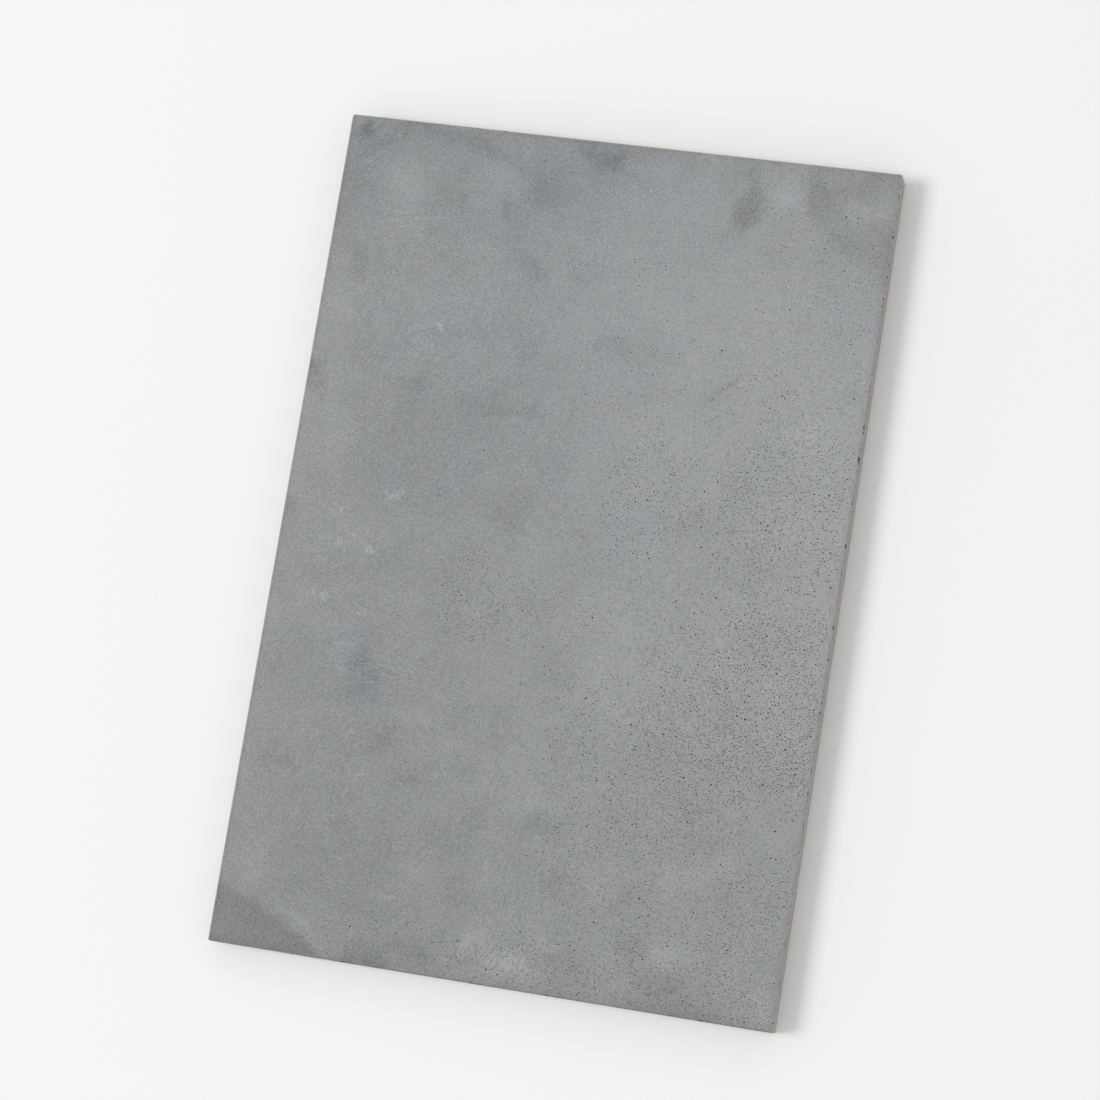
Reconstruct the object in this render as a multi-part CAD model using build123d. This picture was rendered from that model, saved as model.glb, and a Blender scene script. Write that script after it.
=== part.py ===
from build123d import *
import os

# A bench whetstone: one slab of natural stone, sawn to a rectangle and lapped
# flat. It lies as it is used, with its working face up.
# Millimetres. The origin is in the middle of the base face, +X runs across the
# slab, +Y along it and +Z up through the working face.

# Driving dimensions
WIDTH = 150.0  # across the slab, side to side
LENGTH = 225.0  # along the slab, end to end
THICKNESS = 8.0  # from the base to the working face
CORNER_RADIUS = 0.6  # the four upright edges, worn a little round
FACE_ARRIS = 0.3  # the edge rubbed off all round the working face
BASE_ARRIS = 0.4  # the edge rubbed off all round the base


def sawn_block():
    """The slab as it leaves the saw, standing on its base."""
    outline = RectangleRounded(WIDTH, LENGTH, CORNER_RADIUS)
    return extrude(outline, THICKNESS)


def break_arris(block, side, size):
    """Rubs off the edge all round the topmost (1) or lowest (-1) face."""
    level_faces = block.faces().filter_by(Axis.Z).sort_by(Axis.Z)
    face = level_faces[-1] if side > 0 else level_faces[0]
    return chamfer(face.edges(), size)


def stone_slab():
    """The one piece that the whetstone is made of."""
    slab = sawn_block()
    slab = break_arris(slab, 1, FACE_ARRIS)
    slab = break_arris(slab, -1, BASE_ARRIS)
    slab.label = "stone_slab"
    return slab


os.makedirs("parts", exist_ok=True)
export_step(stone_slab(), os.path.join("parts", "stone_slab.step"))
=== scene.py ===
"""A bench whetstone: one thin slab of blue-grey stone, lapped flat, lying working face up."""

import math
import random

import bmesh
import bpy
from mathutils import Euler, Matrix, Vector, noise


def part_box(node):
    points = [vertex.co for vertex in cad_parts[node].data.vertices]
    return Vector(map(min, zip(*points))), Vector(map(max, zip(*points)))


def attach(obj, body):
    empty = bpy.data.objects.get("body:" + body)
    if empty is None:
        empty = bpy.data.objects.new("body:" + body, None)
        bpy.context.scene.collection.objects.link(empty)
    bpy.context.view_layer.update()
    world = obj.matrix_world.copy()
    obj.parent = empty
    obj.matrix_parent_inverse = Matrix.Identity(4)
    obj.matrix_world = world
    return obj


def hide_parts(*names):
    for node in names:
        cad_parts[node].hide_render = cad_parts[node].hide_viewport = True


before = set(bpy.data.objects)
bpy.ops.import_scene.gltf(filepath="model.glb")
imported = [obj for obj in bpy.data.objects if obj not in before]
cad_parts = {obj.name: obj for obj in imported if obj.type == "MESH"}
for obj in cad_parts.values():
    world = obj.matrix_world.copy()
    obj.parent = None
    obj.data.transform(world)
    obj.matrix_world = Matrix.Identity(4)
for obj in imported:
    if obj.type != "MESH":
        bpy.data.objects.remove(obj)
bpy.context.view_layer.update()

MM = 0.001
HAIR = 0.001 * MM  # two heights no further apart than this are the same
LOW, HIGH = (Vector(corner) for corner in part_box("stone_slab"))
WIDTH, LENGTH, THICKNESS = HIGH - LOW
FACE = HIGH.z  # height of the working face

# The slab's edges, as in the CAD part
CORNER_RADIUS = 0.6 * MM
FACE_ARRIS = 0.3 * MM
BASE_ARRIS = 0.4 * MM

# Slots of the slab's mesh, one for each way that its stone was left
LAPPED, SAWN, WORN, BROKEN, PORE = range(5)

# One step of an eight-bit grey, as a share of this stone's brightness
LEVEL = 0.0148
DARKEST = 0.05  # no spot is darker than this share of its own colour


# --- Camera, floor and light -------------------------------------------------

AIM = Vector((-1.66, 1.79, 8.0)) * MM
CAMERA_DISTANCE = 868.3 * MM
CAMERA_TURN = (9.418, 10.456, 9.442)  # degrees about X, Y and Z, from straight down
LENS = 108.62  # on a sensor 36 mm wide


def place_camera():
    """Looks down on the working face, a little from its right-hand near corner."""
    data = bpy.data.cameras.new("camera")
    data.lens = LENS
    data.sensor_width = 36.0
    data.clip_end = 10.0
    camera = bpy.data.objects.new("camera", data)
    turn = Euler([math.radians(a) for a in CAMERA_TURN], "XYZ")
    camera.rotation_euler = turn
    camera.location = AIM + turn.to_matrix() @ Vector((0, 0, CAMERA_DISTANCE))
    bpy.context.collection.objects.link(camera)
    bpy.context.scene.camera = camera


def studio():
    """A pale floor under even white light, with one soft lamp up on the left."""
    bm = bmesh.new()
    bmesh.ops.create_grid(bm, x_segments=1, y_segments=1, size=3.0)
    floor = new_object("floor", bm)
    floor.data.materials.append(floor_paint())

    world = bpy.data.worlds.new("studio")
    world.use_nodes = True
    sky = world.node_tree.nodes["Background"]
    sky.inputs["Color"].default_value = (1.0, 1.0, 1.0, 1.0)
    sky.inputs["Strength"].default_value = 0.74
    bpy.context.scene.world = world

    data = bpy.data.lights.new("soft_lamp", "AREA")
    data.shape = "DISK"
    data.size = 1.65
    data.energy = 69.1
    lamp = bpy.data.objects.new("soft_lamp", data)
    lamp.location = (-2.46, -0.45, 3.0)
    lamp.rotation_euler = (AIM - lamp.location).to_track_quat("-Z", "Y").to_euler()
    bpy.context.collection.objects.link(lamp)

    bpy.context.scene.view_settings.view_transform = "Standard"


# --- Material recipes --------------------------------------------------------


def paint(red, green, blue):
    """An eight-bit colour as the linear one that shaders take."""
    parts = [c / 255.0 for c in (red, green, blue)]
    return [c / 12.92 if c <= 0.04045 else ((c + 0.055) / 1.055) ** 2.4 for c in parts] + [1.0]


class Finish:
    """A material, and the short recipes that its patterns are made of."""

    def __init__(self, name, dimensions="3D"):
        self.material = bpy.data.materials.new(name)
        self.material.use_nodes = True
        self.tree = self.material.node_tree
        self.tree.nodes.clear()
        self.dimensions = dimensions  # 2D patterns are quicker, and suit a level face
        self.place = self.new("ShaderNodeTexCoord").outputs["Object"]

    def new(self, kind, inputs=None, **settings):
        node = self.tree.nodes.new(kind)
        for name, value in settings.items():
            setattr(node, name, value)
        for key, value in (inputs or {}).items():
            socket = node.inputs[key]
            if isinstance(value, bpy.types.NodeSocket):
                self.tree.links.new(value, socket)
            else:
                socket.default_value = value[:3] if socket.type == "VECTOR" else value
        return node

    def maths(self, operation, *values, clamp=False):
        node = self.new("ShaderNodeMath", dict(enumerate(values)), operation=operation)
        node.use_clamp = clamp
        return node.outputs[0]

    def vector_maths(self, operation, first, second):
        node = self.new("ShaderNodeVectorMath", {0: first, 1: second}, operation=operation)
        return node.outputs["Vector"]

    def total(self, values):
        """The sum of many values."""
        result = values[0]
        for value in values[1:]:
            result = self.maths("ADD", result, value)
        return result

    def ramp(self, value, start, end, low=0.0, high=1.0):
        """An eased step from low to high as the value goes from start to end."""
        limits = {"Value": value, "From Min": start, "From Max": end, "To Min": low, "To Max": high}
        return self.new("ShaderNodeMapRange", limits, interpolation_type="SMOOTHSTEP").outputs[0]

    def set_down(self, place, x, y, along, across, turn):
        """Coordinates whose unit circle is an ellipse on the face, in mm and degrees."""
        inputs = {
            "Vector": place,
            "Location": (x * MM, y * MM, 0.0),
            "Rotation": (0.0, 0.0, math.radians(turn)),
            "Scale": (along * MM, across * MM, 1.0),
        }
        return self.new("ShaderNodeMapping", inputs, vector_type="TEXTURE").outputs[0]

    def patch(self, place, x, y, along, across, turn, value, edge=1.0):
        """A round patch worth value in its middle. A small edge makes its rim crisp."""
        here = self.set_down(place, x, y, along, across, turn)
        ball = self.new("ShaderNodeTexGradient", {"Vector": here}, gradient_type="SPHERICAL")
        return self.ramp(ball.outputs["Fac"], 0.0, edge, 0.0, value)

    def clouds(self, place, size, seed=0.0, detail=2.0, roughness=0.5):
        """A noise node whose clouds are about this size in mm."""
        shifted = self.vector_maths("ADD", place, (0.137 * seed, 0.071 * seed, 0.093 * seed))
        inputs = {
            "Vector": shifted,
            "Scale": 1.0 / (size * MM),
            "Detail": detail,
            "Roughness": roughness,
        }
        return self.new("ShaderNodeTexNoise", inputs, noise_dimensions=self.dimensions)

    def noise(self, size, strength, **settings):
        """Even clouds of about this size in mm, from -strength to strength."""
        cloud = self.clouds(self.place, size, **settings).outputs[0]
        return self.maths("MULTIPLY_ADD", cloud, 2.0 * strength, -strength)

    def warped(self, size, reach, seed):
        """Coordinates pushed about by up to reach mm, in waves of this size in mm."""
        wave = self.clouds(self.place, size, seed=seed, detail=3.0).outputs["Color"]
        push = self.vector_maths("SUBTRACT", wave, (0.5, 0.5, 0.5))
        push = self.vector_maths("MULTIPLY", push, (4 * reach * MM, 4 * reach * MM, 0.0))
        return self.vector_maths("ADD", self.place, push)

    def grains(self, size, seed, place=None):
        """Crystal grains of this size in mm: three random numbers each, and how far its middle is."""
        shifted = self.vector_maths("ADD", place or self.place, (0.113 * seed, 0.059 * seed, 0.0))
        inputs = {"Vector": shifted, "Scale": 1.0 / (size * MM)}
        cells = self.new("ShaderNodeTexVoronoi", inputs, voronoi_dimensions=self.dimensions)
        lots = self.new("ShaderNodeSeparateColor", {0: cells.outputs["Color"]})
        return lots.outputs[0], lots.outputs[1], lots.outputs[2], cells.outputs["Distance"]

    def strokes(self, place, turn, long, wide, seed):
        """Straight scratches, 0 to 1, at this turn in degrees; long and wide are in mm."""
        here = self.set_down(place, 13.0 * seed, 7.0 * seed, long, wide, turn)
        inputs = {"Vector": here, "Scale": 1.0, "Detail": 2.0, "Roughness": 0.6}
        return self.new("ShaderNodeTexNoise", inputs, noise_dimensions="2D").outputs[0]

    def rings(self, place, x, y, bend, wide, seed):
        """Scratches bent round a point, 0 to 1: about bend of them go once round, each wide mm."""
        here = self.vector_maths("SUBTRACT", place, (x * MM, y * MM, FACE))
        here = self.vector_maths("MULTIPLY", here, (1.0, 1.0, 0.0))
        away = self.new("ShaderNodeVectorMath", {0: here}, operation="LENGTH").outputs["Value"]
        heading = self.new("ShaderNodeVectorMath", {0: here}, operation="NORMALIZE").outputs["Vector"]
        radius = bend / 6.3  # of a circle that is about bend long
        heading = self.vector_maths("MULTIPLY", heading, (radius, radius, 0.0))
        split = self.new("ShaderNodeSeparateXYZ", {0: heading})
        across = self.maths("MULTIPLY_ADD", away, 1.0 / (wide * MM), 5.0 * seed)
        inputs = {"X": split.outputs["X"], "Y": split.outputs["Y"], "Z": across}
        there = self.new("ShaderNodeCombineXYZ", inputs).outputs[0]
        inputs = {"Vector": there, "Scale": 1.0, "Detail": 2.0, "Roughness": 0.6}
        return self.new("ShaderNodeTexNoise", inputs, noise_dimensions="3D").outputs[0]

    def shade(self, colour, levels):
        """The colour made lighter or darker by this many eight-bit levels."""
        gain = self.maths("MULTIPLY_ADD", levels, LEVEL, 1.0)
        gain = self.maths("MAXIMUM", gain, DARKEST)
        node = self.new("ShaderNodeVectorMath", {0: colour, "Scale": gain}, operation="SCALE")
        return node.outputs["Vector"]

    def mix(self, share, first, second):
        node = self.new("ShaderNodeMix", data_type="RGBA")
        for socket, value in zip((node.inputs[0], node.inputs[6], node.inputs[7]), (share, first, second)):
            if isinstance(value, bpy.types.NodeSocket):
                self.tree.links.new(value, socket)
            else:
                socket.default_value = value
        return node.outputs[2]

    def finished(self, colour, roughness, height=None, depth=0.02):
        """Puts colour, roughness and a bump of this many mm on a plain surface."""
        inputs = {"Base Color": colour, "Roughness": roughness}
        if height is not None:
            bump = self.new("ShaderNodeBump", {"Height": height, "Distance": depth * MM})
            inputs["Normal"] = bump.outputs[0]
        surface = self.new("ShaderNodeBsdfPrincipled", inputs)
        surface.inputs["Specular IOR Level"].default_value = 0.3
        self.new("ShaderNodeOutputMaterial", {"Surface": surface.outputs[0]})
        return self.material


# --- The stone's finishes ----------------------------------------------------

# Stains are given as x and y of the middle, half the length, half the width, the
# turn in degrees, and the change in grey levels, all as seen from above.

# The broad drift of tone, from the pale far right to the grey near left
DRIFT = [
    (48, 65, 75, 85, 0, 8),
    (10, 25, 60, 90, 0, 4),
    (-75, 22, 17, 85, 0, 5),
    (-30, 28, 62, 100, 0, -4),
    (-30, -100, 95, 38, 0, -5),
    (68, -60, 30, 60, 0, -3),
    (-5, 116, 95, 20, 0, -7),
    (0, -117, 95, 16, 0, -5),
    (78, 0, 40, 105, 0, 9),
    (58, -32, 30, 50, 0, 4),
    (-52, -52, 40, 62, 0, -3),
    (-4, -106, 20, 12, 0, 5),
    (-30, -72, 62, 55, 0, -3),
    (30, -25, 28, 28, 0, 5),
    (75, 102, 12, 16, 0, 5),
    (70, -86, 16, 24, 0, 4),
    (-56, 104, 26, 14, 0, -4),
    (-40, 95, 14, 9, 0, -5),
    (77, 95, 10, 35, 0, -4),
    (76, 66, 7, 18, 0, -4),
    (-72, -8, 12, 20, 0, -4),
    (-66, 98, 14, 14, 0, -3),
    (-2, 104, 26, 8, 0, -3),
    (-10, -86, 22, 12, 0, 4),
    (14, 48, 18, 18, 0, -2),
    (-36, 56, 30, 28, 0, 4),
    (35, 14, 12, 10, 0, 3),
    (20, 104, 8, 6, 0, -5),
    (70, 54, 8, 12, 0, -3),
    (50, -108, 30, 6, 0, -3),
    (-50, -6, 9, 8, 0, -2),
]

SOFT_STAINS = [
    # handled corner and edge, far left
    (-65, 107, 13, 6, 25, -8),
    (-74, 92, 11, 26, 0, -9),
    (-27, 91, 4, 9, 20, -7),
    (-17, 96, 12, 9, 0, -6),
    (-48, 90, 7, 8, 0, -4),
    (-47, 83, 9, 4, 0, -6),
    (-20, 76, 8, 4, -40, -4),
    (-44, 41, 8, 5, 0, -7),
    (-40, 55, 18, 5, 10, -5),
    (-17, 38, 12, 4, 10, -6),
    (-29, 40, 9, 5, 0, -4),
    (-55, 94, 11, 12, 0, 5),
    (-50, 84, 14, 7, 10, 3),
    (-33, 98, 12, 7, 0, 6),
    (-35, 79, 11, 4, 10, 4),
    (-30, 66, 20, 6, 5, 3),
    (-65, 36, 7, 20, 0, 4),
    (-52, 64, 14, 7, 10, 3),
    (-9, 110, 6, 4, 0, -11),
    (-2, 108, 7, 7, 0, -15),
    (-41, 97, 3, 12, 0, -4),
    (-28, 91, 3, 5, -20, -5),
    (-19, 95, 8, 9, 0, -5),
    (-18, 76, 9, 3, -50, -4),
    # the finger marks of the far right
    (36, 98, 6, 10, -14, -7),
    (36, 107, 6, 5, -30, -5),
    (33, 92, 5, 6, -30, -5),
    (54, 103, 5, 8, 15, -8),
    (62, 91, 9, 6, -25, -4),
    (17, 103, 5, 5, 0, -4),
    (75, 88, 5, 12, 0, -6),
    # the middle
    (7, 57, 9, 8, 0, -6),
    (20, 57, 12, 9, 0, -5),
    (-47, 39, 13, 6, 0, -4),
    (-46, 29, 12, 8, 0, -4),
    (-17, 54, 6, 6, 0, -5),
    (-12, 38, 5, 4, 0, -3),
    (-27, 38, 14, 5, 0, -4),
    (-4, 28, 7, 14, 0, -3),
    (-15, 12, 18, 8, 10, -6),
    (-36, 12, 8, 3, 10, -4),
    (-25, 19, 4, 4, 0, -4),
    (-67, 12, 4, 11, 25, -4),
    (-75, 2, 4, 9, 0, -8),
    (-75, 43, 7, 4, -30, -8),
    # the scratched near left
    (-46.5, -37, 8, 17, 0, -10),
    (-37, -54, 8, 5, 25, -6),
    (-29, -63, 9, 5, 20, -5),
    (-65, -63, 9, 4, 20, -6),
    (-7, -50, 5, 5, -20, -6),
    (-7, -44, 3, 4, 0, -4),
    (-21, -47, 7, 5, 0, -4),
    (-14, -58, 5, 5, 0, -4),
    (-10, -70, 7, 6, -30, -6),
    (9, -71, 12, 5, -20, -7),
    (14, -82, 4, 8, 0, -6),
    (-45, -84, 40, 11, 10, -2),
    (-18, -76, 12, 8, 0, -4),
    (5, -32, 9, 14, 0, -2),
    (34, -84, 9, 6, 20, -5),
    (-6, -106, 5, 3, 0, -5),
    # pale bloom
    (-57, 97, 6, 16, 10, 3),
    (-34, 102, 6, 3, 0, 5),
    (9, 106, 10, 6, 0, 8),
    (45.5, 104, 5, 8, 0, 7),
    (67, 101, 6, 5, 0, 4),
    (66, 43, 12, 14, 0, 3),
    (-7, 62, 14, 8, 0, 3),
    (26, 37, 6, 5, 0, 3),
    (-46, 52, 5, 4, 0, 3),
    (-62, -18, 6, 5, 0, 4),
    (-57, -3, 12, 5, 0, 3),
    (5, -64, 14, 6, 0, 4),
    (-10, -61, 9, 5, 0, 3),
    (25, -12, 30, 30, 0, 2),
    (48, -77, 17, 6, 32, 6),
    (-35, -47, 18, 5, 5, 4),
    (25, -83, 8, 7, 0, 4),
    (45, -98, 9, 6, 0, 6),
    (-66, -92, 12, 6, -50, 4),
    (-53, -104, 13, 2, -33, 7),
    (72, -106, 5, 9, 0, 7),
    (6, -106, 13, 5.6, -10, 12),
    (-5, -101, 6, 4, 35, 7),
    (12, -99.5, 5, 4, 0, 8),
]

# Stains whose rim can be followed. The last number is how soft the rim is.
CRISP_STAINS = [
    # rubbed-in dirt along the far left edge
    (-70.5, 108.5, 4.6, 3.4, 25, -17, 0.8),
    (-56, 111.5, 9, 3.5, 12, -7, 0.9),
    (-46, 109.5, 12, 3.5, -4, -6, 0.9),
    (-37, 107, 10, 3.2, -15, -7, 0.9),
    (-29, 104.5, 12, 4, -15, -4, 0.9),
    (-75, 41, 9, 4, -40, -8, 0.4),
    # a thumb, far left and far right
    (-66, 71.5, 3.4, 7.5, 14, -8, 0.6),
    (-70, 77, 5, 1.8, 0, -6, 0.8),
    (36.2, 98.8, 5.4, 8.0, -18, -12, 0.5),
    (35.6, 107.5, 3.4, 3.0, -20, -4, 0.5),
    # grease that has soaked in from the near left corner, and its neighbours
    (-67, -118, 44, 18.5, -28, -13, 0.16),
    (-33, -111, 8, 7, 0, -8, 0.5),
    (-21, -107, 9, 4, -12, -6, 0.5),
    (44, -105, 8, 4, 0, -7, 0.5),
    (50, -114, 22, 8, 0, -6, 0.5),
    (36, -97, 9, 4, -25, -5, 0.6),
    # the edge of something round, far right, with dry islands inside it
    (72, 108.5, 23.5, 24, 0, -8, 0.2),
    (65, 101, 6, 5, -30, 6, 0.6),
    (72, 103, 4, 6, 0, 6, 0.6),
    (60, 110, 7, 4, 0, 5, 0.6),
]

# Where the stone is warmer or cooler: the last number is a share of the warm colour
TINGES = [
    (-18, 62, 62, 75, 0, -0.11),
    (-72, 100, 16, 28, 0, -0.12),
    (72, 78, 14, 24, 0, -0.08),
    (66, 5, 28, 45, 0, 0.05),
    (50, -60, 45, 70, 0, 0.07),
    (70, -68, 12, 20, 0, -0.05),
    (0, 100, 95, 26, 0, -0.08),
    (-42, 10, 18, 18, 0, -0.08),
    (-60, 66, 10, 8, 0, -0.07),
    (66, -108, 20, 12, 0, 0.09),
    (14, 6, 22, 14, 0, -0.08),
    (-72, -106, 14, 12, 0, 0.12),
    (-76, -60, 16, 70, 0, 0.12),
    (-78, 20, 16, 60, 0, 0.06),
    (-46, -36, 9, 16, 0, -0.2),
    (0, -118, 110, 16, 0, 0.10),
    (-69, 108, 8, 6, 0, -0.2),
    (-50, 107, 16, 8, 0, -0.12),
    (-4, 108, 12, 7, 0, -0.2),
    (-18, 97, 12, 8, 0, -0.1),
    (70, -107, 12, 8, 0, 0.1),
]

# Chalky dabs and thin marks, left by something hard
MARKS = [
    (37, 49.4, 12, 1.7, 45, -6),
    (37, 49.9, 9, 0.8, 46, -9),
    (-45.4, 10.4, 2.4, 1.5, 20, 19),
    (-47.8, 11.0, 2.4, 0.8, -42, 16),
    (-43.6, 11.9, 1.8, 0.8, 62, 15),
    (-55, -1.4, 3.8, 1.0, -24, 15),
    (-58.2, -3.5, 1.9, 1.0, 62, 20),
    (-49.7, -4.8, 2.3, 1.4, -18, 23),
    (-62.8, -2.9, 1.8, 0.8, -12, 18),
    (-59, 4.9, 1.9, 0.9, 62, 17),
    (-62, -8.5, 2.5, 1.0, 10, 9),
    (-60, -18.5, 2.2, 2.0, 40, 17),
    (-63, -17.8, 1.8, 1.0, -40, 15),
    (-41.3, 57.4, 2.4, 0.9, -52, 17),
    (-54.6, 28, 0.8, 2.2, -10, 15),
    (-34.4, 80.8, 0.32, 0.32, 0, 60),
    (-29.7, 80.0, 0.28, 0.28, 0, 50),
    (-58.5, 21.0, 0.28, 0.28, 0, 45),
    (6, 106, 1.6, 1.0, -20, 9),
    (-30.5, -31.5, 1.0, 2.2, 30, -9),
    (-55, 47, 6, 0.35, -1, -9),
    (32.5, 89.5, 0.45, 2.8, 0, 9),
    (41, 92, 0.4, 4.0, 0, 8),
    (11.7, -84, 0.45, 7.0, 2, 8),
    (-40, -33, 12, 0.35, -20, 8),
    (-47, -75.5, 9, 0.35, -3, 9),
    (-42, -64, 7, 0.35, 12, 9),
    (-55, -63.5, 4, 0.35, -18, 8),
    (-36, -20.5, 6, 0.3, -8, 7),
]

# Rusty grains: x, y and half the width
RUST = [
    (57.3, 6.4, 0.7),
    (-59, -102.9, 0.5),
    (52.7, 94.2, 0.45),
    (60.7, 65.9, 0.34),
    (-57.2, 69.4, 0.3),
    (-69, 11.8, 0.3),
    (-63.6, 35.3, 0.28),
]

# Where the grain stands open: x, y, half the length, half the width, and the pores
# per square centimetre there. The last is the thin scatter over the whole face.
OPEN_GRAIN = [
    (61, 20, 20, 22, 80),
    (49, 16, 13, 18, 34),
    (63, -30, 20, 27, 112),
    (47, -32, 19, 30, 56),
    (32, -52, 26, 24, 46),
    (23, 20, 14, 17, 56),
    (-21, -13, 10, 13, 50),
    (-9, -14, 9, 9, 30),
    (45, -80, 36, 20, 48),
    (66, -92, 14, 22, 42),
    (-24, -107, 26, 8, 26),
    (36, -106, 44, 10, 58),
    (60, 75, 20, 42, 22),
    (70, -30, 9, 26, 60),
    (11, 79, 7, 5, 30),
    (35, 45, 40, 20, 14),
    (15, 0, 20, 25, 11),
    (25, -28, 24, 26, 16),
    (0, 0, 75, 112, 1.2),
]

# Strokes left by lapping: middle, half the length and width of the field, the turn
# and length of its scratches and how strong they are, in grey levels.
STROKES = [
    (-68, 105, 17, 14, 52, 7, 19.0),
    (-48, 92, 20, 18, -32, 7, 7.0),
    (-30, 108, 24, 8, 50, 7, 8.0),
    (-5, 106, 22, 10, 50, 7, 8.0),
    (-46, -35, 10, 16, -4, 3, 15.0),
    (-46, -31, 10, 16, -38, 3, 11.0),
    (-48, -24, 26, 22, -27, 7, 12.0),
    (66, 62, 18, 26, 32, 6, 8.0),
    (36, 97, 18, 14, 88, 6, 8.0),
    (6, -86, 22, 22, 83, 9, 15.0),
    (-8, 20, 22, 22, 40, 6, 7.0),
    (1, -104, 20, 11, 60, 6, 21.0),
    (0, -63, 13, 11, -50, 8, 15.0),
]

# Swirls left by lapping round and round: middle, half the length and width of the
# field and how strong they are, in grey levels.
SWIRLS = [
    (-39, -66, 58, 58, 15.0),
    (-49, 72, 52, 52, 11.0),
    (-42, 38, 48, 52, 9.0),
    (20, -30, 95, 80, 6.0),
]


def lapping_marks(finish):
    """The scratches of the working face, in grey levels either way."""
    wide = 0.25  # of one scratch, in mm
    fade = 0.7  # how soon a field thins out towards its rim
    fields = []
    for seed, (x, y, along, across, turn, long, strength) in enumerate(STROKES):
        lines = finish.strokes(finish.place, turn, long, wide, seed + 1.0)
        fields.append((lines, finish.patch(finish.place, x, y, along, across, 0, strength, fade)))
    swept = finish.warped(24.0, 3.5, seed=6.0)
    for seed, (x, y, along, across, strength) in enumerate(SWIRLS):
        lines = finish.rings(swept, x, y, 30.0, wide, seed + 1.0)
        fields.append((lines, finish.patch(finish.place, x, y, along, across, 0, strength, fade)))
    parts = []
    for lines, share in fields:
        brushed = finish.maths("MULTIPLY_ADD", lines, 2.0, -1.0)
        bright = finish.ramp(lines, 0.62, 0.80)
        parts.append(finish.maths("MULTIPLY", finish.maths("ADD", brushed, bright), share))
    left = finish.clouds(finish.place, 9.0, seed=12.0, detail=3.0).outputs[0]
    left = finish.ramp(left, 0.38, 0.62, 0.35, 1.3)  # wear has taken some of them away
    return finish.maths("MULTIPLY", finish.total(parts), left)


def specks(finish):
    """Dark and pale mineral grains too small to be pits, in grey levels."""
    spread = 1.3  # the specks reach further out than the pores
    per_pore = 0.0007  # share of the grains that are specks, for each pore per square centimetre
    everywhere = 0.015  # share of them over the whole face
    shares = []
    for x, y, along, across, thickness in OPEN_GRAIN[:-1]:
        around = (x, y, spread * along, spread * across, 0)
        shares.append(finish.patch(finish.place, *around, per_pore * thickness, 0.8))
    share = finish.total(shares)
    drawn_out = finish.vector_maths("MULTIPLY", finish.place, (0.72, 1.0, 1.0))
    bunches = finish.clouds(drawn_out, 3.2, seed=11.0, detail=3.0).outputs[0]
    share = finish.maths("MULTIPLY", share, finish.ramp(bunches, 0.36, 0.64, 0.75, 1.25))
    lot, depth, other, away = finish.grains(0.29, 9.0, drawn_out)
    chosen = finish.maths("LESS_THAN", lot, finish.maths("ADD", share, everywhere))
    size = finish.ramp(away, 0.18, 0.38, 1.0, 0.0)
    depth = finish.maths("MULTIPLY_ADD", depth, -66.0, -20.0)
    dark = finish.maths("MULTIPLY", finish.maths("MULTIPLY", chosen, size), depth)
    pale = finish.maths("MULTIPLY", finish.maths("GREATER_THAN", other, 0.95), size)
    return finish.maths("MULTIPLY_ADD", pale, 22.0, dark)


def handled_rim(finish):
    """Dirt along the rim of the working face, in grey levels."""
    split = finish.new("ShaderNodeSeparateXYZ", {0: finish.place})
    x, y = split.outputs["X"], split.outputs["Y"]
    sides = (
        finish.ramp(x, HIGH.x - 1.4 * MM, HIGH.x - 0.2 * MM, 0.0, -3.0),
        finish.ramp(x, LOW.x + 1.8 * MM, LOW.x + 0.2 * MM, 0.0, -9.0),
        finish.ramp(y, LOW.y + 3.0 * MM, LOW.y + 0.2 * MM, 0.0, -6.0),
        finish.ramp(y, HIGH.y - 1.4 * MM, HIGH.y - 0.2 * MM, 0.0, -4.0),
    )
    return finish.total(sides)


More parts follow.
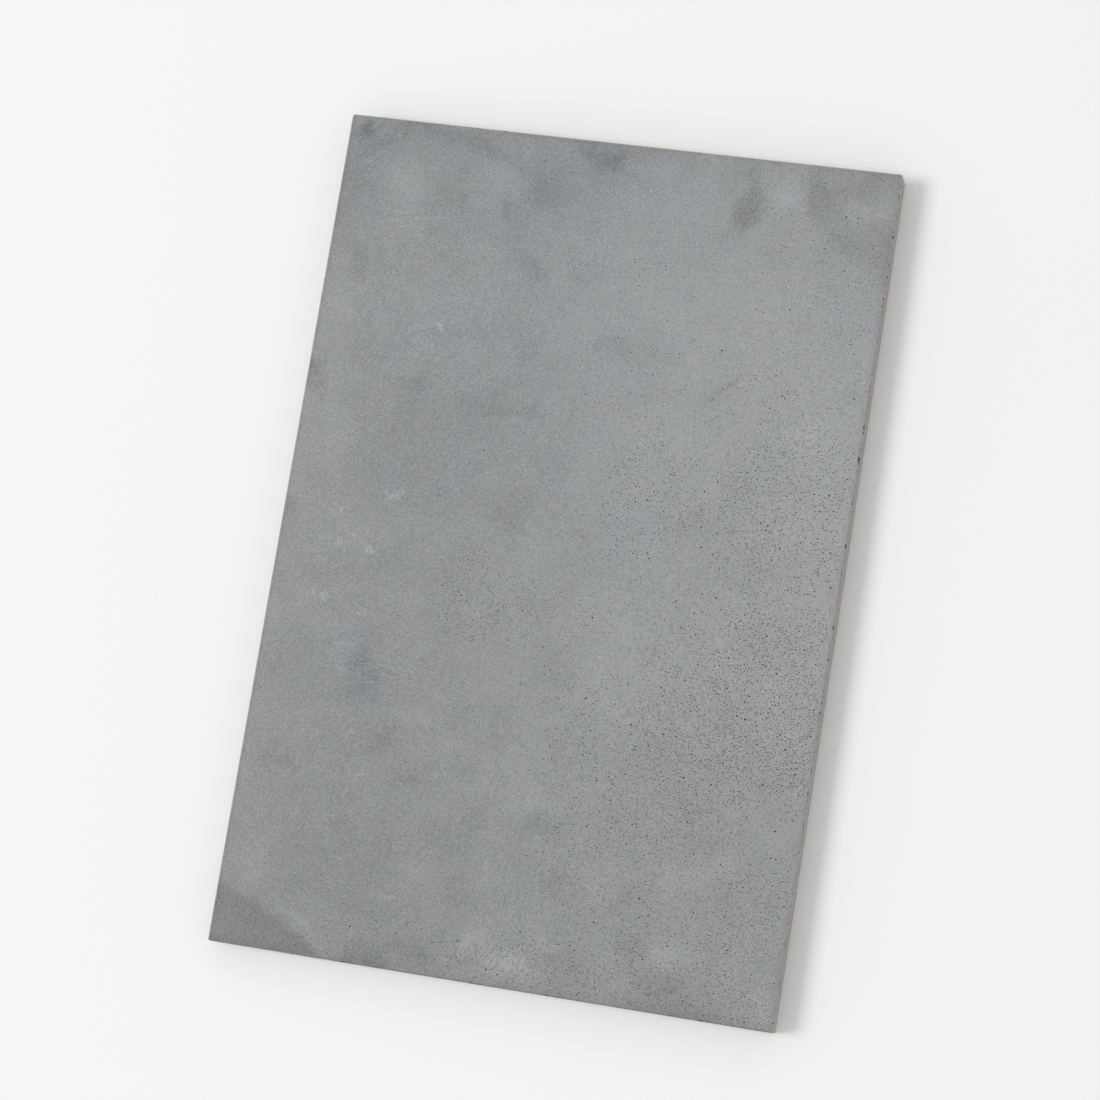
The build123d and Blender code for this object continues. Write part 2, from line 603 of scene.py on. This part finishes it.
def lapped_stone():
    """The working face: lapped flat by hand, worn and stained by use."""
    finish = Finish("lapped_stone", "2D")
    wide = finish.warped(26.0, 7.0, seed=1.0)
    near = finish.warped(9.0, 2.2, seed=2.0)
    little = finish.warped(5.0, 0.9, seed=4.0)
    close = finish.warped(1.6, 0.55, seed=3.0)
    parts = [finish.patch(wide, *stain) for stain in DRIFT]
    parts += [finish.patch(near, *stain) for stain in SOFT_STAINS]
    parts += [finish.patch(little, *stain) for stain in CRISP_STAINS]
    marks = finish.total([finish.patch(close, *mark, 0.8) for mark in MARKS])
    scrubbed = finish.clouds(finish.place, 0.6, seed=3.0, detail=3.0).outputs[0]
    scrubbed = finish.ramp(scrubbed, 0.40, 0.60, 0.1, 1.5)
    parts.append(finish.maths("MULTIPLY", marks, scrubbed))
    parts.append(handled_rim(finish))
    parts.append(finish.noise(14.0, 7.0, seed=4.0, detail=6.0, roughness=0.6))
    parts.append(lapping_marks(finish))

    light_lot, hue_lot, _, _ = finish.grains(0.21, seed=5.0)
    parts.append(finish.maths("MULTIPLY_ADD", light_lot, 28.0, -14.0))
    parts.append(specks(finish))
    fine = finish.noise(0.35, 2.5, seed=6.0, detail=2.0, roughness=0.7)
    parts.append(fine)
    levels = finish.total(parts)

    hue = [finish.maths("MULTIPLY_ADD", hue_lot, 0.42, 0.25)]
    hue.append(finish.noise(1.2, 0.46, seed=7.0, detail=3.0, roughness=0.6))
    hue.append(finish.noise(9.0, 0.12, seed=8.0, detail=3.0))
    hue += [finish.patch(wide, *tinge) for tinge in TINGES]
    colour = finish.mix(finish.total(hue), paint(135, 141.7, 147), paint(148, 144.7, 140))
    colour = finish.shade(colour, levels)
    rust = finish.total([finish.patch(close, x, y, half, half, 0, 1.0, 0.9) for x, y, half in RUST])
    colour = finish.mix(rust, colour, paint(178, 152, 120))
    height = finish.maths("MULTIPLY", fine, 0.08)
    roughness = finish.noise(7.0, 0.12, seed=9.0, detail=3.0)
    roughness = finish.maths("ADD", roughness, 0.76)
    return finish.finished(colour, roughness, height, 0.02)


def sawn_stone():
    """Sides and base: left from the saw, warmer with the dirt of handling, and painted paler than the face
    as painted light.
    """
    finish = Finish("sawn_stone")
    here = finish.new("ShaderNodeMapping", {"Vector": finish.place, "Scale": (1.0, 1.0, 14.0)}).outputs[0]
    saw = finish.clouds(here, 7.0, seed=1.0, detail=4.0, roughness=0.6).outputs[0]
    parts = [finish.maths("MULTIPLY_ADD", saw, 22.0, -11.0)]
    parts.append(finish.noise(6.0, 9.0, seed=2.0, detail=5.0, roughness=0.62))
    light_lot, hue_lot, dark_lot, _ = finish.grains(0.3, seed=3.0)
    parts.append(finish.maths("MULTIPLY_ADD", light_lot, 14.0, -7.0))
    parts.append(finish.maths("MULTIPLY", finish.maths("GREATER_THAN", dark_lot, 0.95), -22.0))
    above_base = finish.new("ShaderNodeSeparateXYZ", {0: finish.place}).outputs["Z"]
    # Painted shade and dirt: dark dashes just under the face edge, for the shade and dirt in the chips of
    # the arris.
    under_edge = finish.ramp(above_base, FACE - 1.3 * MM, FACE - 0.5 * MM)
    shade_and_dirt_dashes = finish.clouds(finish.place, 2.4, seed=5.0, detail=5.0, roughness=0.62).outputs[0]
    shade_and_dirt_dashes = finish.ramp(shade_and_dirt_dashes, 0.42, 0.64, -2.0, -48.0)
    parts.append(finish.maths("MULTIPLY", under_edge, shade_and_dirt_dashes))
    hue = finish.maths("MULTIPLY_ADD", hue_lot, 0.3, 0.35)
    hue = finish.maths("ADD", hue, finish.noise(3.0, 0.5, seed=4.0, detail=4.0), clamp=True)
    # Painted light: both colours are paler than the face, standing in for light bounced onto the sides.
    colour = finish.mix(hue, paint(164, 163, 160), paint(172, 166, 156))
    colour = finish.shade(colour, finish.total(parts))
    height = finish.maths("ADD", saw, finish.maths("MULTIPLY", light_lot, 0.25))
    return finish.finished(colour, 0.85, height, 0.06)


def worn_and_shaded_arris():
    """The rubbed edge round the working face, where dirt gathers, with painted shade along the near edge.
    """
    finish = Finish("worn_and_shaded_arris")
    parts = [finish.noise(2.5, 24.0, seed=1.0, detail=5.0, roughness=0.65)]
    along = finish.new("ShaderNodeSeparateXYZ", {0: finish.place}).outputs["Y"]
    # Painted shade: the arris along the near edge is darker, as a lower edge turned away from the light.
    parts.append(finish.ramp(along, LOW.y + 0.3 * MM, LOW.y + 0.5 * MM, -26.0, 0.0))
    hue = finish.noise(3.0, 1.0, seed=2.0, detail=4.0)
    hue = finish.maths("ADD", hue, 0.45, clamp=True)
    colour = finish.mix(hue, paint(148, 149, 147), paint(153, 148, 139))
    colour = finish.shade(colour, finish.total(parts))
    return finish.finished(colour, 0.85)


def broken_stone():
    """The inside of a nick in an edge, dark with old oil and dust, and painted darker still as shade in
    the hollow.
    """
    finish = Finish("broken_stone")
    spots = finish.noise(0.5, 30.0, seed=1.0, detail=3.0)
    hue = finish.noise(2.0, 1.2, seed=2.0, detail=3.0)
    hue = finish.maths("MULTIPLY_ADD", hue, 0.5, 0.5, clamp=True)
    # Painted shade and dirt: both colours are far darker than the stone.
    colour = finish.mix(hue, paint(84, 80, 72), paint(108, 92, 70))
    colour = finish.shade(colour, spots)
    return finish.finished(colour, 0.9, spots, 0.01)


def pore_dirt():
    """Swarf and oil settled in the open pores."""
    finish = Finish("pore_dirt")
    spots = finish.noise(0.8, 26.0, seed=1.0, detail=2.0)
    hue = finish.noise(1.5, 1.4, seed=2.0, detail=2.0)
    hue = finish.maths("MULTIPLY_ADD", hue, 0.5, 0.5, clamp=True)
    colour = finish.mix(hue, paint(54, 54, 51), paint(80, 64, 47))
    colour = finish.shade(colour, spots)
    return finish.finished(colour, 0.92, spots, 0.005)


def floor_paint():
    """Plain matt white, very slightly uneven."""
    finish = Finish("floor_paint")
    colour = finish.shade(paint(235.8, 235.8, 235.8), finish.noise(180.0, 0.5, seed=1.0))
    return finish.finished(colour, 0.95)


# --- The slab ----------------------------------------------------------------


def new_object(name, bm):
    mesh = bpy.data.meshes.new(name)
    bm.to_mesh(mesh)
    bm.free()
    made = bpy.data.objects.new(name, mesh)
    bpy.context.collection.objects.link(made)
    return made


def bevel(bm, edges, size, segments):
    bmesh.ops.bevel(
        bm,
        geom=edges,
        offset=size,
        affect="EDGES",
        segments=segments,
        profile=0.5,
        material=-1,
    )


def level_edges(bm, height):
    """The edges that lie all round at one height."""
    return [e for e in bm.edges if all(abs(v.co.z - height) < 0.01 * MM for v in e.verts)]


def sawn_block():
    """A rectangular block with worn upright corners and rubbed arrises."""
    bm = bmesh.new()
    middle = (LOW + HIGH) / 2
    size = Matrix.Diagonal((WIDTH, LENGTH, THICKNESS, 1.0))
    bmesh.ops.create_cube(bm, size=1.0, matrix=Matrix.Translation(middle) @ size)
    upright = [e for e in bm.edges if abs(e.verts[0].co.z - e.verts[1].co.z) > THICKNESS / 2]
    bevel(bm, upright, CORNER_RADIUS, 4)
    bevel(bm, level_edges(bm, HIGH.z), FACE_ARRIS, 2)
    bevel(bm, level_edges(bm, LOW.z), BASE_ARRIS, 2)
    return bm


def uneven_arris(bm, rng):
    """Cuts the long edges short and moves them a little, as rubbing by hand leaves them."""
    step = 1.6 * MM
    shortened = 3 * MM  # a long edge has lost less than this to its corners
    for run in (WIDTH, LENGTH):
        long_edges = [e for e in bm.edges if abs(e.calc_length() - run) < shortened]
        bmesh.ops.subdivide_edges(bm, edges=long_edges, cuts=round(run / step))
    under = [f for f in bm.faces if f.calc_center_median().z < HAIR]
    bmesh.ops.dissolve_faces(bm, faces=under)
    for vert in bm.verts:
        for height, inward in ((HIGH.z, 0.12 * MM), (LOW.z, 0.14 * MM)):
            if abs(vert.co.z - height) < HAIR:
                side_x = WIDTH / 2 - abs(vert.co.x)
                side_y = LENGTH / 2 - abs(vert.co.y)
                if side_x < side_y:
                    vert.co.x -= math.copysign(rng.uniform(-0.5, 1.0) * inward, vert.co.x)
                else:
                    vert.co.y -= math.copysign(rng.uniform(-0.5, 1.0) * inward, vert.co.y)


def label_faces(bm):
    for face in bm.faces:
        height = face.calc_center_median().z
        if height > FACE - HAIR:
            face.material_index = LAPPED
        elif height > FACE - FACE_ARRIS:
            face.material_index = WORN
        else:
            face.material_index = SAWN


class Cutters:
    """Small rough pebbles and picks that are taken out of the slab, none touching another."""

    CELL = 2.0 * MM  # of the grid that the places taken are filed in
    POINT = {"cap_ends": True, "segments": 4, "radius1": 0.0, "radius2": 1.25, "depth": 1.6}

    def __init__(self, rng):
        self.rng = rng
        self.bm = bmesh.new()
        self.taken = {}
        ball, cone = bmesh.ops.create_icosphere, bmesh.ops.create_cone
        self.shapes = {
            "pebble": [self.rough_shape(BROKEN, ball, subdivisions=2, radius=1.0) for _ in range(6)],
            "knob": [self.rough_shape(PORE, ball, subdivisions=1, radius=1.0) for _ in range(6)],
            "pick": [self.rough_shape(PORE, cone, **self.POINT) for _ in range(8)],
        }

    def rough_shape(self, slot, create, **sizes):
        """A closed shape about one unit across, its corners moved at random."""
        bm = bmesh.new()
        create(bm, **sizes)
        for vert in bm.verts:
            vert.co.xy *= self.rng.uniform(0.78, 1.15)
            vert.co.z *= self.rng.uniform(0.9, 1.1)
        for face in bm.faces:
            face.material_index = slot
        mesh = bpy.data.meshes.new("rough_shape")
        bm.to_mesh(mesh)
        bm.free()
        return mesh

    def takes_place(self, x, y, reach):
        """Files a place as taken, unless something else is in reach of it."""
        column, row = int(x // self.CELL), int(y // self.CELL)
        for i in (-1, 0, 1):
            for j in (-1, 0, 1):
                for other_x, other_y, other in self.taken.get((column + i, row + j), ()):
                    if math.hypot(other_x - x, other_y - y) < other + reach:
                        return False
        self.taken.setdefault((column, row), []).append((x, y, reach))
        return True

    def cut(self, kind, middle, half_sizes, turn, room=1.2):
        """Adds a shape, unless another is too near. Room is how many half widths it keeps clear."""
        if not self.takes_place(middle[0], middle[1], room * max(half_sizes[:2])):
            return
        mesh = self.rng.choice(self.shapes[kind]).copy()
        size = Matrix.Diagonal((*half_sizes, 1.0))
        mesh.transform(Matrix.Translation(middle) @ turn.to_matrix().to_4x4() @ size)
        self.bm.from_mesh(mesh)
        bpy.data.meshes.remove(mesh)


# Nicks in each edge of the working face and the base: mean spacing in mm
FACE_NICKS = {"right": 2.2, "left": 6.0, "far": 6.0, "near": 3.6}
BASE_NICKS = {"right": 9.0, "left": 9.0, "far": 9.0, "near": 9.0}


def nick_edge(cutters, side, height, spacing):
    """Small bites along one edge, most of them about half a millimetre long."""
    rng = cutters.rng
    lengthwise = side in ("right", "left")
    run = (LENGTH if lengthwise else WIDTH) / 2 - 2 * MM
    edge = (WIDTH if lengthwise else LENGTH) / 2
    edge = edge if side in ("right", "far") else -edge
    down = -1.0 if height > FACE / 2 else 1.0
    along = -run + rng.uniform(0.2, 1.0) * spacing * MM
    while along < run:
        size = rng.paretovariate(2.4)
        half = min(0.22 * size, 1.0) * MM
        deep = min(0.17 * size ** 0.5, 0.42) * MM
        off = deep * rng.uniform(0.1, 0.5)
        across = edge + math.copysign(off, edge)
        above = height - down * off
        middle = (across, along, above) if lengthwise else (along, across, above)
        drop = (deep + off) * (rng.uniform(1.2, 3.0) if down < 0 else 1.0)
        halves = (deep + off, half, drop) if lengthwise else (half, deep + off, drop)
        turn = Euler([rng.uniform(-0.25, 0.25) for _ in range(3)])
        cutters.cut("pebble", middle, halves, turn)
        along += rng.expovariate(1.0 / (spacing * MM)) + 0.4 * MM


def pore(cutters, x, y, thickness):
    """One pore in the working face. Few are large, and those mostly where pores are thickest."""
    rng = cutters.rng
    least = 0.1 + 0.048 * min(thickness / 100, 1.0)
    half = min(least * rng.paretovariate(6.0), 0.29) * MM
    halves = (half * rng.uniform(0.95, 1.4), half * rng.uniform(0.8, 1.0), half * 1.1)
    turn = Euler((0.0, 0.0, rng.gauss(-0.1, 0.35)))
    kind = "knob" if half > 0.2 * MM else "pick"
    lift = 0.15 if kind == "knob" else -0.55
    cutters.cut(kind, (x, y, FACE + lift * half), halves, turn, room=1.35)


def bunching(x, y):
    """The chance that a pore opens at a place, since they come in bunches drawn out sideways."""
    return 0.5 + 0.5 * noise.noise(Vector((x / (5.5 * MM), y / (3.0 * MM), 0.0)))


def open_pores(cutters):
    """Pores in the working face, thickest where its grain stands open, some of them in rows."""
    rng = cutters.rng
    edge = 1.2 * MM
    for x, y, along, across, thickness in OPEN_GRAIN:
        left = round(thickness * math.pi * along * across / 100)
        while left > 0:
            reach = math.sqrt(rng.random()) * rng.gauss(1.0, 0.12)
            angle = rng.uniform(0.0, 2.0 * math.pi)
            place_x = (x + reach * along * math.cos(angle)) * MM
            place_y = (y + reach * across * math.sin(angle)) * MM
            if rng.random() > bunching(place_x, place_y):
                continue
            row = 1 + int(rng.random() < 0.14)
            for _ in range(row):
                if abs(place_x) < WIDTH / 2 - edge and abs(place_y) < LENGTH / 2 - edge:
                    pore(cutters, place_x, place_y, thickness)
                place_x += rng.uniform(0.35, 0.6) * MM
                place_y += rng.gauss(-0.03, 0.12) * MM
            left -= row


def lay_out(mesh):
    """Flattens the slab onto a square map, with most of the room for the working face."""
    layer = mesh.uv_layers.new(name="OFBake")
    gap = 0.005
    full = (1.0 - 2 * gap) / LENGTH  # scale of the working face and the long sides
    strip = THICKNESS * full + 2 * gap
    column = WIDTH * full + 2 * gap
    spare = column + 2 * strip + gap
    small = (1.0 - gap - spare) / WIDTH  # scale of the base
    ends = gap + LENGTH * small + 2 * gap
    for face in mesh.polygons:
        side = max(range(3), key=lambda axis: abs(face.normal[axis]))
        if face.center.z > FACE - 0.02 * MM or (face.normal.z > 0.3 and face.center.z > FACE / 2):
            side = 2
        up = face.normal[side] > 0
        for loop in face.loop_indices:
            x, y, z = mesh.vertices[mesh.loops[loop].vertex_index].co - LOW
            if side == 2 and up:
                spot = (gap + x * full, gap + y * full)
            elif side == 2:
                spot = (spare + (WIDTH - x) * small, gap + y * small)
            elif side == 0:
                spot = (column + gap + (0 if up else strip) + z * full, gap + y * full)
            else:
                across = ends + x * (1 - ends - gap) / WIDTH
                spot = (spare + gap + (0 if up else strip) + z * small * 2, across)
            layer.uv[loop].vector = spot


def whetstone():
    """The slab with its worn edges, nicks and open pores."""
    rng = random.Random(7)
    bm = sawn_block()
    uneven_arris(bm, rng)
    label_faces(bm)
    slab = new_object("whetstone", bm)
    for finish in (lapped_stone(), sawn_stone(), worn_and_shaded_arris(), broken_stone(), pore_dirt()):
        slab.data.materials.append(finish)

    cutters = Cutters(rng)
    for side, spacing in FACE_NICKS.items():
        nick_edge(cutters, side, HIGH.z, spacing)
    for side, spacing in BASE_NICKS.items():
        nick_edge(cutters, side, LOW.z, spacing)
    open_pores(cutters)
    bites = new_object("bites", cutters.bm)

    modifier = slab.modifiers.new("bites", "BOOLEAN")
    modifier.object = bites
    modifier.operation = "DIFFERENCE"
    modifier.solver = "MANIFOLD"
    shaped = slab.evaluated_get(bpy.context.evaluated_depsgraph_get())
    mesh = bpy.data.meshes.new_from_object(shaped)
    slab.modifiers.clear()
    slab.data = mesh
    bpy.data.objects.remove(bites)
    mesh.shade_smooth()
    mesh.set_sharp_from_angle(angle=math.radians(25))
    lay_out(mesh)
    return slab


place_camera()
studio()
slab = whetstone()
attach(slab, "root")
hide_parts("stone_slab")
